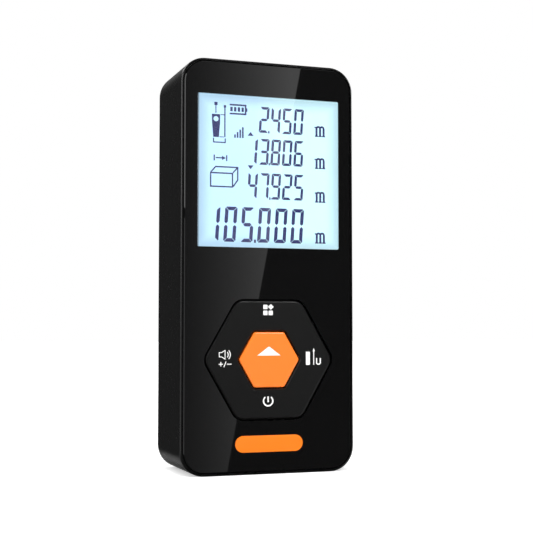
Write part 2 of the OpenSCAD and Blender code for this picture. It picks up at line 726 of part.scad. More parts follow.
module optics_chassis() color("#2e2f31") upright() difference() {
    union() {
        lengthwise(receiver_x, receiver_end_y, optic_z, tunnel_r, chassis_top_y - receiver_end_y);
        lengthwise(beam_x, laser_end_y, optic_z, laser_tunnel_r, chassis_top_y - laser_end_y);
        // web between the two tunnels
        translate([beam_x, laser_end_y + 2, optic_z - 1.2]) cube([beam_spacing, barrel_l - 6, 2.4]);
        // base plate with a foot at each screw
        layer(plate_z, plate_z + plate_t) difference() {
            union() {
                translate([-15, plate_y]) square([30, chassis_top_y - 1 - plate_y]);
                for (spot = [chassis_spots[1], chassis_spots[2]]) {
                    side = sign(spot[0]);
                    foot_r = post_r + 0.6;
                    translate(spot) circle(foot_r);
                    polygon([spot - [side * foot_r, 0], spot + [side * foot_r, 0],
                        [side * 15, plate_y + 10], [side * 8, plate_y + 1]]);
                }
            }
            translate([-6, plate_y + 10]) round_rect(14, 14, 2);
            translate([socket_x, plate_y - 0.5]) square([9, 11], center = true);
        }
        for (spot = chassis_spots) translate(spot) layer(plate_z, board_back_z) circle(post_r);
        // ribs that carry the tunnels on the plate
        for (y = [laser_end_y + 1, chassis_top_y - 8]) translate([beam_x - 1, y, optic_z])
            cube([2, 2, plate_z - optic_z + 0.5]);
        for (y = [receiver_end_y + 1, chassis_top_y - 8]) translate([receiver_x - 5, y, optic_z])
            cube([10, 2, plate_z - optic_z + 0.5]);
    }
    // receiver: lens seat, conical stray-light tunnel and sensor bore
    lengthwise(receiver_x, lens_seat_y, optic_z, receiver_d / 2 + 0.05, 10);
    translate([receiver_x, receiver_end_y + 5, optic_z]) rotate([-90, 0, 0])
        cylinder(r1 = 3, r2 = receiver_d / 2 - 0.6, h = lens_seat_y - receiver_end_y - 5 + 0.01);
    lengthwise(receiver_x, receiver_end_y - 1, optic_z, 2.9, 7);
    lengthwise(beam_x, laser_end_y - 1, optic_z, barrel_r + 0.05, 40);
    // a driver's way down to the front screw, between the tunnels
    translate([chassis_spots[0][0], chassis_spots[0][1], back_z])
        cylinder(r = head_r + 0.15, h = plate_z - back_z);
    for (spot = chassis_spots) translate([spot[0], spot[1], plate_z - 1]) cylinder(r = clear_r, h = 6);
    // the tunnels end short of the rear cover's cups
    for (side = [-1, 1]) translate([side * boss_x, boss_top_y, back_z])
        cylinder(r = cup_r + 0.4, h = body_d);
}

module chassis_screws() color("#8a8c90") upright()
    for (spot = chassis_spots) translate(spot) screw(plate_z, board_back_z - plate_z + 4.4);

module laser_barrel() color("#c9a24b") upright() translate([beam_x, laser_end_y + 1, optic_z])
    rotate([-90, 0, 0]) rotate_extrude() polygon([
        [2.85, 0], [barrel_r, 0], [barrel_r, barrel_l], [beam_lens_r, barrel_l],
        [beam_lens_r, barrel_l - beam_seat], [2.6, barrel_l - beam_seat],
        [1.9, 3], [1.9, 1.3], [2.85, 1.3]
    ]);

module laser_diode() color("#d6b25a") upright() translate([beam_x, laser_end_y + 1, optic_z])
    rotate([-90, 0, 0]) {
        cylinder(r = 2.8, h = 1.3);
        cylinder(r = 1.8, h = 3.4);
        for (turn = [90, 210, 330]) rotate([0, 0, turn])
            translate([1, 0, -6]) cylinder(r = 0.23, h = 6.5);
    }

// Plano-convex lens: a disc with a domed front
module lens(r, edge_t, crown) {
    ball_r = (r * r + crown * crown) / (2 * crown);
    rotate([-90, 0, 0]) {
        cylinder(r = r, h = edge_t);
        translate([0, 0, edge_t]) intersection() {
            translate([0, 0, crown - ball_r]) sphere(ball_r);
            cylinder(r = r, h = crown + 1);
        }
    }
}

module beam_lens() color("#dff0ff", 0.6) upright()
    translate([beam_x, laser_end_y + 1 + barrel_l - beam_seat, optic_z]) lens(beam_lens_r - 0.05, 1, 0.8);

module receiver_lens() color("#dff0ff", 0.6) upright()
    translate([receiver_x, lens_seat_y, optic_z]) lens(receiver_d / 2, 1.4, 1.3);

module lens_ring() color("#1d1d1e") upright() translate([receiver_x, lens_seat_y + 3, optic_z])
    rotate([-90, 0, 0]) difference() {
        cylinder(r = receiver_d / 2, h = 1);
        translate([0, 0, -1]) cylinder(r = receiver_d / 2 - 1, h = 3);
        translate([0, 0, 0.9]) cube([receiver_d + 1, 1, 1], center = true);
    }

module receiver_board() color("#1f5a3a") upright() translate([receiver_x, receiver_end_y - 1, optic_z])
    rotate([-90, 0, 0]) linear_extrude(1) round_rect(13.6, 13, 1);

module light_sensor() color("#c9b27a") upright() translate([receiver_x, receiver_end_y, optic_z])
    rotate([-90, 0, 0]) {
        cylinder(r = 2.8, h = 0.6);
        cylinder(r = 2.35, h = 3.4);
    }

// A flat ribbon from the receiver board to its socket on the main board
module sensor_cable() color("#c98b4a") upright() translate([socket_x - 3, 0, board_back_z - 1.1]) {
    drop = board_back_z - optic_z - 2.1;
    y = receiver_end_y - 1.2;
    start_y = socket_y + 0.7;
    translate([0, y, -drop]) cube([6, 0.2, drop]);
    translate([0, start_y, 0]) cube([6, y - start_y + 0.2, 0.2]);
}

module port_window() color("#5a2323", 0.5) upright()
    across_top(body_h - port_recess - port_t, port_t) port_outline(0);

module port_seal() color("#202020") upright() difference() {
    across_top(body_h - port_depth, port_seal_t) port_outline(-0.1);
    across_top(body_h - port_depth - 1, port_seal_t + 2) port_outline(-port_ledge);
}

// An AAA cell along +Y with its nub at the far end
module aaa_cell() rotate([-90, 0, 0]) {
    r = cell_d / 2;
    rotate_extrude() difference() {
        square([r, cell_l - nub_l]);
        translate([r, 0]) rotate(90) fillet_waste(0.4);
        translate([r, cell_l - nub_l]) rotate(180) fillet_waste(0.6);
    }
    cylinder(r = nub_r, h = cell_l);
}

module battery_cells() color("#3d6fb0") upright() {
    translate([-cell_x, bay_y + contact_t + spring_l, cell_z]) aaa_cell();
    translate([cell_x, bay_top_y - contact_t - spring_l, cell_z]) rotate([0, 0, 180]) aaa_cell();
}

function spring_point(t, turns, r1, r2, l) = [
    (r1 + (r2 - r1) * t) * cos(360 * turns * t), (r1 + (r2 - r1) * t) * sin(360 * turns * t), l * t
];

// A conical contact spring wound from wire, along +Z
module contact_spring(turns = 3.5, r1 = 3.6, r2 = 2, wire = 0.3) {
    steps = 56;
    sides = 8;
    length = spring_l - 2 * wire;
    rings = [for (k = [0 : steps])
        let(p = spring_point(k / steps, turns, r1, r2, length), a = 360 * turns * k / steps)
        for (s = [0 : sides - 1])
            let(c = wire * cos(360 * s / sides), h = wire * sin(360 * s / sides))
            [p[0] + c * cos(a), p[1] + c * sin(a), p[2] + h + wire]];
    walls = [for (k = [0 : steps - 1], s = [0 : sides - 1])
        let(a = k * sides + s, b = k * sides + (s + 1) % sides)
        each [[a, b, b + sides], [a, b + sides, a + sides]]];
    ends = [[for (s = [0 : sides - 1]) sides - 1 - s], [for (s = [0 : sides - 1]) steps * sides + s]];
    polyhedron(rings, concat(walls, ends), convexity = 10);
}

module contact_plate(w) linear_extrude(contact_t) round_rect(w, contact_h, 0.8);

module dimple() cylinder(r1 = 2, r2 = 1.4, h = dimple_h);

module bridge_contact() color("#c4c7ca") upright() translate([0, bay_y, cell_z]) rotate([-90, 0, 0]) {
    contact_plate(2 * cell_x + 8);
    translate([-cell_x, 0, contact_t]) contact_spring();
    translate([cell_x, 0, contact_t]) dimple();
}

// A plate at the bay's upper end whose leg is soldered to the main board
module end_plate() {
    translate([0, 0, -contact_t]) contact_plate(8);
    leg_l = board_back_z - cell_z;
    translate([-1, -leg_l, -contact_t]) cube([2, leg_l, contact_t]);
}

module plus_contact() color("#c4c7ca") upright() translate([-cell_x, bay_top_y, cell_z]) rotate([-90, 0, 0]) {
    end_plate();
    mirror([0, 0, 1]) translate([0, 0, contact_t]) dimple();
}

module minus_contact() color("#c4c7ca") upright() translate([cell_x, bay_top_y, cell_z]) rotate([-90, 0, 0]) {
    end_plate();
    mirror([0, 0, 1]) translate([0, 0, contact_t]) contact_spring();
}

module battery_door() color("#1c1c1d") upright() {
    difference() {
        union() {
            translate([-door_w / 2, door_hinge_y, back_z]) cube([door_w, door_top_y - door_hinge_y, door_t]);
            translate([-door_w / 2, door_hinge_y, door_hinge_z]) rotate([0, 90, 0])
                cylinder(r = door_t / 2, h = door_w);
        }
        translate([-latch_w / 2 - latch_gap, door_top_y - latch_l, back_z - 1])
            cube([latch_w + 2 * latch_gap, latch_l + 1, door_t + 2]);
        // an arrow pressed in the door shows which way the latch moves
        translate([0, door_top_y - latch_l - 4, back_z - 0.7]) linear_extrude(1)
            polygon([[-2.6, 2.2], [2.6, 2.2], [0, -1.6]]);
    }
    for (side = [-1, 1]) translate([side * hook_x, door_hinge_y, door_hinge_z]) rotate([90, 0, 90])
        translate([0, 0, -hook_w / 2]) rotate([0, 0, 60]) rotate_extrude(angle = 90)
            translate([0.5, 0]) square([hook_r - 0.5, hook_w]);
}

module door_latch() color("#1c1c1d") upright() {
    latch_t = door_t - 0.2;
    translate([-latch_w / 2, door_top_y - latch_l, back_z + 0.2]) cube([latch_w, latch_l - 0.05, latch_t]);
    translate([-latch_w / 2 + 0.5, door_top_y - 1, back_z + 1]) cube([latch_w - 1, nib_l + 1, 0.7]);
    for (ridge = [0 : 3]) translate([-latch_w / 2 + 1, door_top_y - 5.6 + 1.3 * ridge, back_z])
        cube([latch_w - 2, 0.6, 0.4]);
}

module door_pad() color("#2c2c2e") upright() translate([0, (bay_y + bay_top_y) / 2, 0])
    layer(back_z + door_t, back_z + door_t + pad_foam_t) round_rect(14, 30, 1);

main_housing();
rear_cover();
housing_seal();
case_screws();
front_panel();
panel_tape();
display_window();
badge_plate();
start_key();
ring_key();
ring_pad();
start_dome();
vertical_domes();
side_domes();
dome_film();
display_gasket();
front_polarizer();
display_glass();
rear_polarizer();
light_guide();
reflector_sheet();
display_holder();
contact_strip();
backlight_lamps();
main_board();
controller_chip();
board_chips();
clock_crystal();
buzzer();
shield_can();
board_socket();
board_screws();
optics_chassis();
chassis_screws();
laser_barrel();
laser_diode();
beam_lens();
receiver_lens();
lens_ring();
receiver_board();
light_sensor();
sensor_cable();
port_window();
port_seal();
battery_cells();
bridge_contact();
plus_contact();
minus_contact();
battery_door();
door_latch();
door_pad();
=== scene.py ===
import math

import bmesh
import bpy
from mathutils import Matrix, Vector


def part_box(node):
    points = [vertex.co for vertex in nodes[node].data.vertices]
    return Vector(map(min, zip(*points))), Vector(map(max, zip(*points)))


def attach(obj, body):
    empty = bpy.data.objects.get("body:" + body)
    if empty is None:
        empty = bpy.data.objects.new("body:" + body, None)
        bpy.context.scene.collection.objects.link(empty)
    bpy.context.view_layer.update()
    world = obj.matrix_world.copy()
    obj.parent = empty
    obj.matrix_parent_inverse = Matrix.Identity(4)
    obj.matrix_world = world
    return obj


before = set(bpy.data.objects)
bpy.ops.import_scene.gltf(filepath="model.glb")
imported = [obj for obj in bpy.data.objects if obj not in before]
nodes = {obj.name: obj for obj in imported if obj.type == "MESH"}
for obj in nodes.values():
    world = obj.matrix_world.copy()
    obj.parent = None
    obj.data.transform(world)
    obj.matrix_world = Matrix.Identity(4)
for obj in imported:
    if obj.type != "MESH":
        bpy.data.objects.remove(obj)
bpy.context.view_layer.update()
scene = bpy.context.scene

# ---------------------------------------------------------------------------
# Studio: a pale seamless floor in a room whose walls only soft light and reflections see, so that
# black gloss stays black. The lamps are plain softboxes: the one on the left draws the line of
# light along the case's left edge, and no surface mirrors the key light.

camera_data = bpy.data.cameras.new("studio_camera")
camera_data.sensor_width = 36
camera_data.lens = 76.875
camera_data.clip_start = 0.01
camera = bpy.data.objects.new("studio_camera", camera_data)
scene.collection.objects.link(camera)
scene.camera = camera
eye = Vector((-0.102154, -0.306915, 0.038633))
yaw, pitch = math.radians(19.031), math.radians(3.273)
forward = Vector((math.sin(yaw) * math.cos(pitch), math.cos(yaw) * math.cos(pitch), math.sin(pitch)))
across = Vector((math.cos(yaw), -math.sin(yaw), 0))
turned = Matrix((across, across.cross(forward), -forward)).transposed().to_4x4()
camera.matrix_world = Matrix.Translation(eye) @ turned

world = bpy.data.worlds.new("studio_room")
scene.world = world
world.use_nodes = True
tree = world.node_tree
tree.nodes.clear()
rays = tree.nodes.new("ShaderNodeLightPath")
seen = tree.nodes.new("ShaderNodeMath")
seen.operation = "MAXIMUM"
tree.links.new(rays.outputs["Is Camera Ray"], seen.inputs[0])
tree.links.new(rays.outputs["Is Transmission Ray"], seen.inputs[1])
room = {}
for name, strength in (("backdrop", 1.0), ("mirrored", 0.04), ("ambient", 0.45)):
    room[name] = tree.nodes.new("ShaderNodeBackground")
    room[name].inputs["Color"].default_value = (1, 1, 1, 1)
    room[name].inputs["Strength"].default_value = strength
unseen = tree.nodes.new("ShaderNodeMixShader")
tree.links.new(rays.outputs["Is Glossy Ray"], unseen.inputs["Fac"])
tree.links.new(room["ambient"].outputs[0], unseen.inputs[1])
tree.links.new(room["mirrored"].outputs[0], unseen.inputs[2])
both = tree.nodes.new("ShaderNodeMixShader")
tree.links.new(seen.outputs[0], both.inputs["Fac"])
tree.links.new(unseen.outputs[0], both.inputs[1])
tree.links.new(room["backdrop"].outputs[0], both.inputs[2])
world_out = tree.nodes.new("ShaderNodeOutputWorld")
tree.links.new(both.outputs[0], world_out.inputs["Surface"])

object_middle = Vector((0, 0, 0.055))
for name, place, width, height, watts in (
    ("key_light", (-0.12, -0.68, 1.0), 0.4, 0.4, 9.0),
    ("near_light", (0.10, -0.25, 0.227), 0.08, 0.08, 0.24),
    ("left_light", (-1.0, -0.15, 0.47), 0.7, 0.6, 4.0),
    ("right_light", (1.0, 0.35, 0.5), 0.4, 0.4, 2.5),
    ("rear_light", (-0.55, 0.75, 0.9), 0.5, 0.5, 5.0),
):
    lamp = bpy.data.lights.new(name, "AREA")
    lamp.shape = "RECTANGLE"
    lamp.size = width
    lamp.size_y = height
    lamp.energy = watts
    softbox = bpy.data.objects.new(name, lamp)
    scene.collection.objects.link(softbox)
    aim = (object_middle - Vector(place)).to_track_quat("-Z", "Y")
    softbox.matrix_world = Matrix.Translation(place) @ aim.to_matrix().to_4x4()
    softbox.visible_camera = False
    softbox.visible_glossy = name != "key_light"


def staged_sheet(name, corners):
    """A flat sheet of the studio with an empty material; returns it and the material's tree."""
    bm = bmesh.new()
    bm.faces.new([bm.verts.new(corner) for corner in corners])
    mesh = bpy.data.meshes.new(name)
    bm.to_mesh(mesh)
    bm.free()
    sheet = bpy.data.objects.new(name, mesh)
    scene.collection.objects.link(sheet)
    surface = bpy.data.materials.new(name)
    surface.use_nodes = True
    mesh.materials.append(surface)
    return sheet, surface.node_tree


# the floor keeps the shadow and turns white away from it: painted light, a glow that only the camera sees,
# weaker near the object
floor_half = 4
floor, tree = staged_sheet("floor", [(x * floor_half, y * floor_half, 0)
                                     for x, y in ((-1, -1), (1, -1), (1, 1), (-1, 1))])
floor.visible_glossy = False
shade = tree.nodes["Principled BSDF"]
shade.inputs["Base Color"].default_value = (0.9, 0.9, 0.9, 1)
shade.inputs["Roughness"].default_value = 0.9
shade.inputs["Specular IOR Level"].default_value = 0
shade.inputs["Emission Color"].default_value = (1, 1, 1, 1)
rays = tree.nodes.new("ShaderNodeLightPath")
place = tree.nodes.new("ShaderNodeTexCoord")
reach = tree.nodes.new("ShaderNodeVectorMath")
reach.operation = "LENGTH"
tree.links.new(place.outputs["Object"], reach.inputs[0])
# painted light: the camera-only glow rises from 0.45 near the object to 1 far from it
painted_glow_ramp = tree.nodes.new("ShaderNodeMapRange")
painted_glow_ramp.inputs["From Min"].default_value = 0.1
painted_glow_ramp.inputs["From Max"].default_value = 0.5
painted_glow_ramp.inputs["To Min"].default_value = 0.45
painted_glow_ramp.inputs["To Max"].default_value = 1.0
tree.links.new(reach.outputs["Value"], painted_glow_ramp.inputs["Value"])
painted_floor_glow = tree.nodes.new("ShaderNodeMath")
painted_floor_glow.operation = "MULTIPLY"
tree.links.new(rays.outputs["Is Camera Ray"], painted_floor_glow.inputs[0])
tree.links.new(painted_glow_ramp.outputs[0], painted_floor_glow.inputs[1])
tree.links.new(painted_floor_glow.outputs[0], shade.inputs["Emission Strength"])

# Cards that only reflections see. The front one has a slanted edge and glows towards it; the others
# are even, and lighten the lower and upper corners, the left and top rims, the back and the right
# side.
for name, dim, bright, corners in (
    ("front_card", 0.06, 1.6,
     ((-0.9, -1.2, -0.3), (0.324, -1.2, -0.3), (0.485, -1.2, 0.543), (-0.9, -1.2, 0.543))),
    ("low_card", 0.36, 0.36,
     ((-0.2, 0.8, -0.26), (0.0, 0.8, -0.26), (0.0, 0.8, -0.16), (-0.2, 0.8, -0.16))),
    ("left_card", 0.9, 0.9,
     ((-1.0, -0.5, -0.25), (-1.0, 0.3, -0.25), (-1.0, 0.3, 0.17), (-1.0, -0.5, 0.17))),
    ("back_card", 0.15, 0.15,
     ((-0.1, 1.0, 0.28), (0.3, 1.0, 0.28), (0.3, 1.0, 0.6), (-0.1, 1.0, 0.6))),
    ("top_card", 0.5, 0.5,
     ((0.05, 0.0, 0.95), (0.5, 0.0, 0.95), (0.5, 0.4, 0.95), (0.05, 0.4, 0.95))),
    ("rear_card", 0.7, 0.7,
     ((-0.02, 1.0, -0.13), (-0.02, 1.0, -0.23), (0.25, 1.0, -0.26), (0.7, 1.0, -0.95),
      (3.0, 1.0, -0.95), (3.0, 1.0, -0.13))),
    ("rear_left_card", 0.7, 0.7,
     ((-3.0, 1.0, -1.2), (-0.9, 1.0, -1.2), (-0.9, 1.0, -0.3), (-3.0, 1.0, -0.3))),
    ("right_card", 0.7, 0.7,
     ((1.0, -2.0, -0.8), (1.0, 1.0, -0.8), (1.0, 1.0, -0.13), (1.0, -2.0, -0.13))),
):
    card, tree = staged_sheet(name, corners)
    card.visible_camera = False
    card.visible_diffuse = False
    card.visible_shadow = False
    card.visible_transmission = False
    tree.nodes.clear()
    place = tree.nodes.new("ShaderNodeTexCoord")
    split = tree.nodes.new("ShaderNodeSeparateXYZ")
    tree.links.new(place.outputs["Object"], split.inputs[0])
    sideways = tree.nodes.new("ShaderNodeMapRange")
    sideways.inputs["From Min"].default_value = 0.24
    sideways.inputs["From Max"].default_value = 0.445
    tree.links.new(split.outputs["X"], sideways.inputs["Value"])
    curve = tree.nodes.new("ShaderNodeMath")
    curve.operation = "POWER"
    curve.inputs[1].default_value = 2
    tree.links.new(sideways.outputs[0], curve.inputs[0])
    level = tree.nodes.new("ShaderNodeMath")
    level.operation = "MULTIPLY_ADD"
    level.inputs[1].default_value = bright - dim
    level.inputs[2].default_value = dim
    tree.links.new(curve.outputs[0], level.inputs[0])
    glow = tree.nodes.new("ShaderNodeEmission")
    tree.links.new(level.outputs[0], glow.inputs["Strength"])
    out = tree.nodes.new("ShaderNodeOutputMaterial")
    tree.links.new(glow.outputs[0], out.inputs["Surface"])

# ---------------------------------------------------------------------------
# Case: two black ABS mouldings with a fine spark-eroded texture, screwed together from the back
# with a foam seal between them. The battery door and its latch are moulded in the same black.

mm = 0.001
grain, grain_t = 9000, 0.05 * mm


def finish_for(name, colour, rough, metal=0.0, drift=0.05, patch=300.0, depth=0.0, gloss=0.5):
    """A material whose colour and roughness wander a little over patches, over a fine grained bump."""
    mat = bpy.data.materials.new(name)
    mat.use_nodes = True
    tree = mat.node_tree
    shade = tree.nodes["Principled BSDF"]
    shade.inputs["Metallic"].default_value = metal
    shade.inputs["Specular IOR Level"].default_value = gloss
    place = tree.nodes.new("ShaderNodeTexCoord")
    patches = tree.nodes.new("ShaderNodeTexNoise")
    patches.inputs["Scale"].default_value = patch
    patches.inputs["Detail"].default_value = 4
    tree.links.new(place.outputs["Object"], patches.inputs["Vector"])
    shift = tree.nodes.new("ShaderNodeMix")
    shift.data_type = "RGBA"
    shift.inputs["A"].default_value = (*[c * (1 - drift) for c in colour], 1)
    shift.inputs["B"].default_value = (*[min(c * (1 + drift), 1) for c in colour], 1)
    tree.links.new(patches.outputs["Fac"], shift.inputs["Factor"])
    tree.links.new(shift.outputs["Result"], shade.inputs["Base Color"])
    wear = tree.nodes.new("ShaderNodeMapRange")
    wear.inputs["From Min"].default_value = 0.3
    wear.inputs["From Max"].default_value = 0.7
    wear.inputs["To Min"].default_value = rough * 0.95
    wear.inputs["To Max"].default_value = min(rough * 1.05, 1)
    tree.links.new(patches.outputs["Fac"], wear.inputs["Value"])
    tree.links.new(wear.outputs[0], shade.inputs["Roughness"])
    if depth:
        pits = tree.nodes.new("ShaderNodeTexNoise")
        pits.inputs["Scale"].default_value = grain
        pits.inputs["Detail"].default_value = 2
        tree.links.new(place.outputs["Object"], pits.inputs["Vector"])
        bump = tree.nodes.new("ShaderNodeBump")
        bump.inputs["Strength"].default_value = depth
        bump.inputs["Distance"].default_value = grain_t
        tree.links.new(pits.outputs["Fac"], bump.inputs["Height"])
        tree.links.new(bump.outputs[0], shade.inputs["Normal"])
    return mat


def give(mat, *names):
    """Puts a material into every slot of the named nodes."""
    for name in names:
        for slot in nodes[name].material_slots:
            slot.material = mat


give(finish_for("case_black", (0.003, 0.003, 0.0031), 0.28, depth=0.06), "main_housing", "rear_cover",
     "battery_door", "door_latch")
give(finish_for("seal_foam", (0.012, 0.012, 0.012), 0.9, drift=0.15, depth=0.6), "housing_seal", "door_pad",
     "display_gasket", "port_seal")
give(finish_for("screw_nickel", (0.33, 0.33, 0.34), 0.28, metal=1, patch=900, depth=0.1), "case_screws",
     "board_screws", "chassis_screws")

# ---------------------------------------------------------------------------
# Face panel: black acrylic with a polished face and a bevelled edge, stuck in the case's rim with
# tape. The name plate let into it is gloss orange and bare.

give(finish_for("panel_gloss", (0.0032, 0.0032, 0.0033), 0.012, drift=0.1, patch=60, gloss=0.42),
     "front_panel")
give(finish_for("panel_tape_black", (0.01, 0.01, 0.01), 0.7), "panel_tape")
give(finish_for("plate_orange", (0.95, 0.2, 0.008), 0.22, drift=0.02, patch=120, gloss=0.4), "badge_plate")

# ---------------------------------------------------------------------------
# Display window: clear acrylic, flush with the panel and polished, with a faint haze from wiping.
# It is glued into the panel's stepped opening from behind.

window = bpy.data.materials.new("window_clear")
window.use_nodes = True
tree = window.node_tree
shade = tree.nodes["Principled BSDF"]
shade.inputs["Base Color"].default_value = (0.99, 1, 1, 1)
shade.inputs["Transmission Weight"].default_value = 1
shade.inputs["IOR"].default_value = 1.49
place = tree.nodes.new("ShaderNodeTexCoord")
smear = tree.nodes.new("ShaderNodeTexNoise")
smear.inputs["Scale"].default_value = 90
tree.links.new(place.outputs["Object"], smear.inputs["Vector"])
smooth = tree.nodes.new("ShaderNodeMapRange")
smooth.inputs["To Max"].default_value = 0.02
tree.links.new(smear.outputs["Fac"], smooth.inputs["Value"])
tree.links.new(smooth.outputs[0], shade.inputs["Roughness"])
give(window, "display_window")
nodes["display_window"].visible_shadow = False

# ---------------------------------------------------------------------------
# Display: a liquid crystal cell lit from behind by a light guide with a lamp at each side of its
# lower edge. The lit film is whiter on the right and bluer close to the window's edges. Along its
# left border its glow is dimmed: painted shade of the window opening's left wall.


def between(tree, source, low, high):
    """How far a value lies between two levels, from 0 to 1, easing in and out."""
    node = tree.nodes.new("ShaderNodeMapRange")
    node.interpolation_type = "SMOOTHSTEP"
    node.inputs["From Min"].default_value = low
    node.inputs["From Max"].default_value = high
    tree.links.new(source, node.inputs["Value"])
    return node.outputs[0]


def calculate(tree, operation, *values):
    """The result of a maths node on values or on other nodes' outputs."""
    node = tree.nodes.new("ShaderNodeMath")
    node.operation = operation
    for socket, value in zip(node.inputs, values):
        if isinstance(value, (int, float)):
            socket.default_value = value
        else:
            tree.links.new(value, socket)
    return node.outputs[0]


def blend_colours(tree, factor, first, second):
    """A colour between two others, each of them a value or another node's output."""
    node = tree.nodes.new("ShaderNodeMix")
    node.data_type = "RGBA"
    tree.links.new(factor, node.inputs["Factor"])
    for socket, colour in ((node.inputs["A"], first), (node.inputs["B"], second)):
        if isinstance(colour, tuple):
            socket.default_value = (*colour, 1)
        else:
            tree.links.new(colour, socket)
    return node.outputs["Result"]


film_low, film_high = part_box("front_polarizer")
film_middle = (film_low + film_high) / 2
half_w, half_h = [(film_high[k] - film_low[k]) / 2 - 0.5 * mm for k in (0, 2)]
film_lean, film_corner, film_drift = 0.4 * mm, 0.8 * mm, 0.6 * mm
edge_start, edge_end = 0.3 * mm, 4.5 * mm
edge_light, middle_light = 0.89, 1.3
# the strip along the film's left border that gets painted shade, and how dim it is
border_start, border_end, painted_shade_level = -20.1 * mm, -19.6 * mm, 0.15
film = bpy.data.materials.new("lit_film")
film.use_nodes = True
tree = film.node_tree
shade = tree.nodes["Principled BSDF"]
shade.inputs["Base Color"].default_value = (0.02, 0.025, 0.03, 1)
shade.inputs["Specular IOR Level"].default_value = 0.2
place = tree.nodes.new("ShaderNodeTexCoord")
split = tree.nodes.new("ShaderNodeSeparateXYZ")
tree.links.new(place.outputs["Object"], split.inputs[0])
sideways = calculate(tree, "SUBTRACT", split.outputs["X"], film_middle.x + film_lean)
upwards = calculate(tree, "SUBTRACT", split.outputs["Z"], film_middle.z)
inset_x = calculate(tree, "SUBTRACT", half_w, calculate(tree, "ABSOLUTE", sideways))
inset_z = calculate(tree, "SUBTRACT", half_h, calculate(tree, "ABSOLUTE", upwards))
inset = calculate(tree, "SMOOTH_MIN", inset_x, inset_z, film_corner)
cloud = tree.nodes.new("ShaderNodeTexNoise")
cloud.inputs["Scale"].default_value = 150
cloud.inputs["Detail"].default_value = 1
tree.links.new(place.outputs["Object"], cloud.inputs["Vector"])
uneven = calculate(tree, "MULTIPLY_ADD", cloud.outputs["Fac"], film_drift, inset)
whiter = between(tree, split.outputs["X"], -6 * mm, 6 * mm)
tree.links.new(blend_colours(tree, whiter, (0.5, 0.77, 1), (0.59, 0.9, 1)), shade.inputs["Emission Color"])
inner = between(tree, uneven, edge_start, edge_end)
strength = calculate(tree, "MULTIPLY_ADD", inner, middle_light - edge_light, edge_light)
# painted shade: the film's glow falls to 0.15 of its strength along its left border, where the window
# opening's wall would shade it
painted_shade_mask = between(tree, split.outputs["X"], border_start, border_end)
painted_shade_factor = calculate(tree, "MULTIPLY_ADD", painted_shade_mask, 1 - painted_shade_level, painted_shade_level)
tree.links.new(calculate(tree, "MULTIPLY", strength, painted_shade_factor), shade.inputs["Emission Strength"])
roughness = calculate(tree, "MULTIPLY_ADD", cloud.outputs["Fac"], 0.1, 0.45)
tree.links.new(roughness, shade.inputs["Roughness"])
give(film, "front_polarizer")
give(finish_for("cell_glass", (0.5, 0.62, 0.62), 0.08), "display_glass", "rear_polarizer")
give(finish_for("guide_acrylic", (0.75, 0.85, 0.88), 0.1), "light_guide")
give(finish_for("white_moulding", (0.72, 0.73, 0.71), 0.5, depth=0.1), "reflector_sheet", "display_holder",
     "backlight_lamps")
give(finish_for("zebra_rubber", (0.32, 0.07, 0.04), 0.7, drift=0.2), "contact_strip")

# ---------------------------------------------------------------------------
# Display figures: four rows of slanted seven-segment figures with their unit. They are the dark
# segments of the liquid crystal cell, here thin plates on the lit film.

segment_t = 0.01 * mm


def plate(bm, corners):
    """A flat face from a few corners, x and z in millimetres."""
    bm.faces.new([bm.verts.new((x * mm, 0, z * mm)) for x, z in corners])


def block(bm, low, high):
    """A flat rectangle between two opposite corners."""
    plate(bm, [low, (high[0], low[1]), high, (low[0], high[1])])


def line(bm, points, width, closed=False):
    """A flat line of even width through the points, mitred where it bends."""
    points = [Vector(point) for point in points]
    last = len(points) - 1
    rims = []
    for k, point in enumerate(points):
        ways = []
        if k > 0 or closed:
            ways.append((point - points[k - 1]).normalized())
        if k < last or closed:
            ways.append((points[(k + 1) % (last + 1)] - point).normalized())
        along = (ways[0] + ways[-1]).normalized()
        side = Vector((-along.y, along.x)) * width / 2 / along.dot(ways[0])
        rims.append([bm.verts.new((p.x * mm, 0, p.y * mm)) for p in (point + side, point - side)])
    for k in range(last + 1 if closed else last):
        here, there = rims[k], rims[(k + 1) % (last + 1)]
        bm.faces.new((*here, *reversed(there)))


def arc(bm, centre, radius, width, start, end, steps=24):
    """Part of a flat ring, spun from a short edge at its start; angles in degrees."""
    way = Vector((math.cos(math.radians(start)), 0, math.sin(math.radians(start))))
    middle = Vector((centre[0], 0, centre[1]))
    rims = [bm.verts.new((middle + way * r) * mm) for r in (radius - width / 2, radius + width / 2)]
    bmesh.ops.spin(bm, geom=[bm.edges.new(rims)], cent=middle * mm, axis=(0, -1, 0),
                   angle=math.radians(end - start), steps=steps)


def lay(bm, name, body, level, material):
    """Gives the flat faces their thickness and lays them on a level, as one piece on a body."""
    grown = bmesh.ops.extrude_face_region(bm, geom=bm.faces[:])
    front = [v for v in grown["geom"] if isinstance(v, bmesh.types.BMVert)]
    bmesh.ops.translate(bm, verts=front, vec=(0, -segment_t, 0))
    bmesh.ops.translate(bm, verts=bm.verts, vec=(0, level, 0))
    bmesh.ops.recalc_face_normals(bm, faces=bm.faces)
    mesh = bpy.data.meshes.new(name)
    bm.to_mesh(mesh)
    bm.free()
    mesh.materials.append(material)
    piece = bpy.data.objects.new(name, mesh)
    scene.collection.objects.link(piece)
    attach(piece, body)


segments_of = {
    "0": "abcdef", "1": "bc", "2": "abged", "3": "abgcd", "4": "fgbc", "5": "afgcd", "6": "afgedc",
    "7": "abc", "8": "abcdefg", "9": "abcdfg",
}
slant = math.tan(math.radians(3.9))


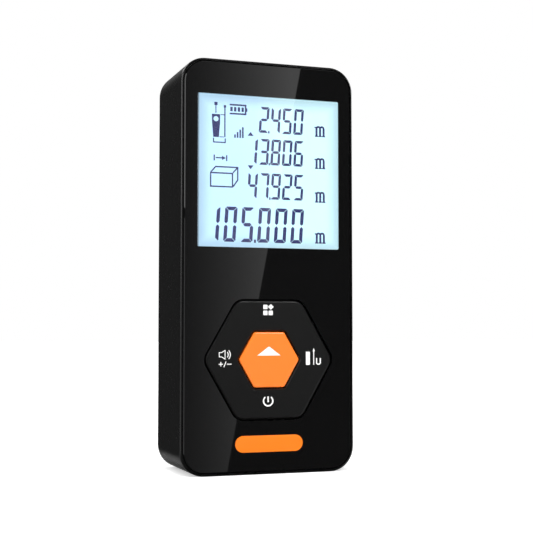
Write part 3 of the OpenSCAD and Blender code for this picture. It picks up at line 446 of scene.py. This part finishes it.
def figure(bm, mark, left, base, w, h, s):
    """One figure, w wide and h high, with strokes s thick."""
    cut, gap, joint, near = s * 0.45, s * 0.04, s * 0.16, s * 0.06
    end = cut / 2 + gap
    top = [(cut, h), (w - cut, h), (w - end, h - cut + end), (w - s - 2 * gap, h - s), (s + 2 * gap, h - s),
           (end, h - cut + end)]
    upper = [(0, h - cut), (cut - end, h - end), (s, h - s - 2 * gap), (s, h / 2 + s / 2 + joint),
             (s / 2, h / 2 + joint), (0, h / 2 + s / 2 + joint)]
    middle = [(s / 2 + near, h / 2), (s + near, h / 2 + s / 2), (w - s - near, h / 2 + s / 2),
              (w - s / 2 - near, h / 2), (w - s - near, h / 2 - s / 2), (s + near, h / 2 - s / 2)]
    outlines = {
        "a": top,
        "b": [(w - x, z) for x, z in upper],
        "c": [(w - x, h - z) for x, z in upper],
        "d": [(x, h - z) for x, z in top],
        "e": [(x, h - z) for x, z in upper],
        "f": upper,
        "g": middle,
    }
    for key in segments_of[mark]:
        plate(bm, [(left + x + z * slant, base + z) for x, z in outlines[key]])


# each row has its text, its base, its figures' width, height, stroke and pitch, and how far the
# point lies from the middle of its gap
bm = bmesh.new()
row_end = 10.6
for text, base, w, h, s, pitch, point in (
    ("2.450", 93.4, 2.75, 7.2, 0.72, 3.38, -0.1),
    ("13.806", 84.5, 2.75, 7.2, 0.72, 3.38, 0.06),
    ("47.925", 75.0, 2.75, 7.2, 0.72, 3.38, 0.2),
    ("105.000", 63.0, 3.5, 9.6, 0.98, 4.85, 0.1),
):
    left = row_end - w - h * slant
    for mark in reversed(text):
        if mark == ".":
            x = left + w + (pitch - w) / 2 + point
            line(bm, ((x, base - 0.1), (x, base + s * 0.8)), s * 0.58)
        else:
            figure(bm, mark, left, base, w, h, s)
            left -= pitch

# the unit after each row is an m with slab feet
unit_left, unit_pitch, stem_w, slab_t, slab_half, rise = 14.35, 1.07, 0.62, 0.34, 0.49, 0.38
for base in (93.15, 84.1, 74.62, 63.15):
    shoulder = base + 2.3
    for k in range(3):
        x = unit_left + k * unit_pitch
        line(bm, ((x, base + slab_t), (x, shoulder)), stem_w)
        line(bm, ((x - slab_half, base + slab_t / 2), (x + slab_half, base + slab_t / 2)), slab_t)
    line(bm, ((unit_left - 0.63, shoulder + rise), (unit_left + stem_w / 2, shoulder + rise)), slab_t)
    line(bm, ((unit_left, shoulder), (unit_left, shoulder + rise - slab_t / 2)), stem_w)
    for k in range(2):
        x = unit_left + (k + 0.5) * unit_pitch
        arc(bm, (x, shoulder), unit_pitch / 2, 0.55, 0, 165, steps=10)

ink = finish_for("segment_indigo", (0.004, 0.004, 0.02), 0.6, gloss=0.1)
shade = ink.node_tree.nodes["Principled BSDF"]
shade.inputs["Emission Color"].default_value = (0.009, 0.014, 0.11, 1)
shade.inputs["Emission Strength"].default_value = 1
film_gap = 0.01 * mm
film_level = film_low.y - film_gap
lay(bm, "display_figures", "root", film_level, ink)

# ---------------------------------------------------------------------------
# Display pictograms: the instrument with its beam and its length, a battery, bars for the signal,
# a distance and a box. They are segments of the same cell, with thinner strokes.

bm = bmesh.new()
# the instrument with its beam, and its length beside it
plate(bm, [(-16.2, 97.8), (-13.85, 97.8), (-13.87, 95.5), (-14.2, 91.5), (-15.8, 91.5), (-16.15, 95.5)])
line(bm, ((-15.05, 98.1), (-15.05, 100.3)), 0.28)
block(bm, (-15.5, 100.25), (-14.6, 101.15))
line(bm, ((-12.5, 91.6), (-12.5, 99.7)), 0.36)
block(bm, (-12.83, 99.7), (-12.17, 100.4))
for x, z in ((-13.75, 97.7), (-14.05, 91.6)):
    line(bm, ((x, z), (-12.68, z)), 0.22)
line(bm, ((-15.7, 91.25), (-15.7, 90.1), (-12.4, 90.1), (-12.4, 91.25)), 0.32)
# battery: a case open to the left, its nub and four bars
line(bm, ((-11.15, 100.65), (-6.55, 100.65), (-6.55, 98.2), (-11.15, 98.2)), 0.46)
block(bm, (-6.35, 98.9), (-6.05, 99.9))
for x, width in ((-10.62, 0.68), (-9.55, 0.68), (-8.48, 0.68), (-7.4, 0.66)):
    line(bm, ((x, 98.82), (x, 100.05)), width)
# signal: four rising bars, and a mark above and below the second row
for x, top in ((-9.6, 92.5), (-8.85, 93.2), (-8.1, 93.9), (-7.35, 94.6)):
    line(bm, ((x, 91.6), (x, top)), 0.46)
plate(bm, [(-5.95, 92.35), (-4.25, 92.35), (-5.1, 93.45)])
plate(bm, [(-5.1, 83.1), (-4.25, 84.2), (-5.95, 84.2)])
# distance: an arrow between two stops
for x in (-15.5, -11.95):
    line(bm, ((x, 85.05), (x, 86.65)), 0.36)
line(bm, ((-15.05, 85.85), (-13.3, 85.85)), 0.34)
plate(bm, [(-13.3, 85.25), (-12.2, 85.85), (-13.3, 86.45)])
# a box with its front, its top and its right side
line(bm, ((-16.5, 78.0), (-10.3, 78.0), (-10.3, 81.7), (-16.5, 81.7)), 0.38, closed=True)
line(bm, ((-16.43, 81.89), (-15.1, 83.4), (-8.8, 83.4), (-8.8, 79.95), (-10.11, 78.1)), 0.38)
line(bm, ((-10.16, 81.89), (-8.99, 83.2)), 0.36)
lay(bm, "display_pictograms", "root", film_level, ink)

# the instrument's round eye stays bright
bm = bmesh.new()
bmesh.ops.create_circle(bm, cap_ends=True, segments=32, radius=0.7 * mm)
bmesh.ops.rotate(bm, verts=bm.verts, matrix=Matrix.Rotation(math.radians(90), 3, "X"))
bmesh.ops.translate(bm, verts=bm.verts, vec=(-15.02 * mm, 0, 96.5 * mm))
lay(bm, "display_eye", "root", film_level - segment_t, film)

# ---------------------------------------------------------------------------
# Function ring: satin black ABS with a white printed symbol at each of its four contacts. It
# rocks on a silicone pad over snap domes, which are held on the board by a film.

give(finish_for("key_satin", (0.0046, 0.0046, 0.0047), 0.36, depth=0.12), "ring_key")
give(finish_for("pad_silicone", (0.05, 0.05, 0.055), 0.6, depth=0.1), "ring_pad")
give(finish_for("dome_steel", (0.6, 0.6, 0.61), 0.3, metal=1, patch=1500), "start_dome", "vertical_domes",
     "side_domes")
give(finish_for("dome_film", (0.5, 0.48, 0.42), 0.3), "dome_film")

print_white = finish_for("printed_white", (0.88, 0.88, 0.87), 0.45, drift=0.03, patch=900)
bm = bmesh.new()
# functions: four tiles, the upper right one turned
size, cut = 1.22, 0.14
for left, low in ((-1.77, 44.73), (-1.77, 43.12), (-0.25, 43.12)):
    steps = ((cut, 0), (size - cut, 0), (size, cut), (size, size - cut), (size - cut, size), (cut, size),
             (0, size - cut), (0, cut))
    plate(bm, [(left + x, low + z) for x, z in steps])
plate(bm, [(-0.44, 45.36), (0.41, 44.57), (1.26, 45.36), (0.41, 46.15)])
# power: an open ring with a stroke
arc(bm, (-0.37, 19.82), 1.33, 0.39, 128, 412, steps=30)
line(bm, ((-0.37, 19.5), (-0.37, 21.05)), 0.41)
# sound: a horn with two waves, and plus and minus for its volume
line(bm, ((-14.26, 31.85), (-14.26, 33.0), (-13.6, 33.0), (-12.63, 33.58), (-12.63, 31.25), (-13.6, 31.85)),
     0.2, closed=True)
arc(bm, (-12.9, 32.42), 1.15, 0.23, -38, 38, steps=8)
arc(bm, (-12.9, 32.42), 1.75, 0.23, -42, 42, steps=10)
sign_z, sign_w = 29.88, 0.22
for left, right in ((-14.4, -13.92), (-13.7, -13.25), (-12.05, -10.82)):
    line(bm, ((left, sign_z), (right, sign_z)), sign_w)
line(bm, ((-13.81, 29.3), (-13.81, 30.46)), sign_w)
line(bm, ((-12.95, 29.1), (-12.35, 30.6)), 0.2)
# reference: the instrument beside a length, and a bracket for its tail
plate(bm, [(10.75, 29.47), (11.72, 29.47), (11.82, 29.57), (11.82, 33.0), (11.72, 33.1), (10.75, 33.1),
           (10.65, 33.0), (10.65, 29.57)])
line(bm, ((12.95, 29.5), (12.95, 33.2)), 0.26)
plate(bm, [(12.6, 33.2), (13.3, 33.2), (12.95, 34.1)])
line(bm, ((13.8, 31.35), (13.8, 29.95), (14.05, 29.65), (14.63, 29.65), (14.88, 29.95), (14.88, 31.35)),
     0.34)
lay(bm, "ring_symbols", "ring_key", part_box("ring_key")[0].y, print_white)

# ---------------------------------------------------------------------------
# Start key: orange ABS with rounded edges, in the middle of the ring. A white triangle is printed
# on it; its flange under the ring holds it, and its plunger stands on a snap dome.

give(finish_for("start_orange", (0.96, 0.2, 0.022), 0.25, drift=0.02, depth=0.05), "start_key")
bm = bmesh.new()
plate(bm, [(-3.52, 32.13), (3.18, 32.13), (0.0, 34.5), (-0.32, 34.5)])
lay(bm, "start_symbol", "start_key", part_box("start_key")[0].y, print_white)

# ---------------------------------------------------------------------------
# Main board: green glass-fibre laminate with solder mask, screwed to the housing's posts. The
# chips, the cans and the socket are soldered to its back; a ribbon joins it to the receiver.

give(finish_for("board_green", (0.012, 0.085, 0.04), 0.3, drift=0.25, patch=700), "main_board",
     "receiver_board")
give(finish_for("chip_epoxy", (0.016, 0.017, 0.019), 0.55, drift=0.15, depth=0.3), "controller_chip",
     "board_chips", "buzzer")
give(finish_for("can_tin", (0.62, 0.62, 0.63), 0.3, metal=1, patch=800), "clock_crystal", "shield_can",
     "light_sensor")
give(finish_for("socket_nylon", (0.6, 0.57, 0.48), 0.5), "board_socket")
give(finish_for("cable_polyimide", (0.45, 0.2, 0.04), 0.3, drift=0.15), "sensor_cable")

# ---------------------------------------------------------------------------
# Optics: a glass-filled black chassis carries the brass laser barrel and the receiving lens. Both
# look out through a dark red filter window let into the top end.

give(finish_for("chassis_black", (0.014, 0.014, 0.015), 0.6, drift=0.2, depth=0.5), "optics_chassis",
     "lens_ring")
give(finish_for("barrel_brass", (0.72, 0.48, 0.17), 0.25, metal=1, patch=500), "laser_barrel", "laser_diode")


def glass_for(name, colour, ior):
    """Clear or tinted glass with a faint haze."""
    mat = bpy.data.materials.new(name)
    mat.use_nodes = True
    tree = mat.node_tree
    shade = tree.nodes["Principled BSDF"]
    shade.inputs["Transmission Weight"].default_value = 1
    shade.inputs["IOR"].default_value = ior
    place = tree.nodes.new("ShaderNodeTexCoord")
    haze = tree.nodes.new("ShaderNodeTexNoise")
    haze.inputs["Scale"].default_value = 250
    tree.links.new(place.outputs["Object"], haze.inputs["Vector"])
    tint = blend_colours(tree, haze.outputs["Fac"], colour, tuple(c * 0.93 for c in colour))
    tree.links.new(tint, shade.inputs["Base Color"])
    roughness = calculate(tree, "MULTIPLY", haze.outputs["Fac"], 0.015)
    tree.links.new(roughness, shade.inputs["Roughness"])
    return mat


give(glass_for("lens_glass", (0.9, 0.95, 1.0), 1.52), "beam_lens", "receiver_lens")
give(glass_for("filter_red", (0.42, 0.03, 0.03), 1.49), "port_window")
nodes["port_window"].visible_shadow = False

# ---------------------------------------------------------------------------
# Batteries: two AAA cells, the right one upside down. Their printed jackets have a pale band at
# the plus end and leave the steel bare at both ends; the contacts are nickel-plated.

cells_low, cells_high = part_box("battery_cells")
cells_middle = (cells_low + cells_high) / 2
cell_half = (cells_high.z - cells_low.z) / 2
cell_l, nub_l, sleeve_lap = 44.5 * mm, 1.0 * mm, 0.15 * mm
band_l, band_line = 10 * mm, 0.4 * mm
jacket = bpy.data.materials.new("cell_jacket")
jacket.use_nodes = True
tree = jacket.node_tree
shade = tree.nodes["Principled BSDF"]
place = tree.nodes.new("ShaderNodeTexCoord")
split = tree.nodes.new("ShaderNodeSeparateXYZ")
tree.links.new(place.outputs["Object"], split.inputs[0])
side = calculate(tree, "SIGN", calculate(tree, "SUBTRACT", cells_middle.x, split.outputs["X"]))
from_middle = calculate(tree, "SUBTRACT", split.outputs["Z"], cells_middle.z)
from_plus = calculate(tree, "SUBTRACT", cell_half, calculate(tree, "MULTIPLY", from_middle, side))
bare_plus = calculate(tree, "LESS_THAN", from_plus, nub_l + sleeve_lap)
bare_minus = calculate(tree, "GREATER_THAN", from_plus, cell_l - sleeve_lap)
steel = calculate(tree, "MAXIMUM", bare_plus, bare_minus)
pale = calculate(tree, "LESS_THAN", from_plus, band_l)
edge = calculate(tree, "COMPARE", from_plus, band_l + band_line, band_line)
scuff = tree.nodes.new("ShaderNodeTexNoise")
scuff.inputs["Scale"].default_value = 400
tree.links.new(place.outputs["Object"], scuff.inputs["Vector"])
blue = blend_colours(tree, scuff.outputs["Fac"], (0.012, 0.05, 0.17), (0.016, 0.062, 0.2))
banded = blend_colours(tree, pale, blue, (0.5, 0.51, 0.53))
lined = blend_colours(tree, edge, banded, (0.85, 0.85, 0.83))
tree.links.new(blend_colours(tree, steel, lined, (0.62, 0.62, 0.6)), shade.inputs["Base Color"])
tree.links.new(steel, shade.inputs["Metallic"])
roughness = calculate(tree, "MULTIPLY_ADD", scuff.outputs["Fac"], 0.08, 0.2)
tree.links.new(roughness, shade.inputs["Roughness"])
give(jacket, "battery_cells")
give(finish_for("contact_nickel", (0.62, 0.62, 0.6), 0.25, metal=1, patch=900), "bridge_contact",
     "plus_contact", "minus_contact")

# ---------------------------------------------------------------------------
# Plain colours, and the scene brought up to date.

scene.view_settings.view_transform = "Standard"
bpy.context.view_layer.update()
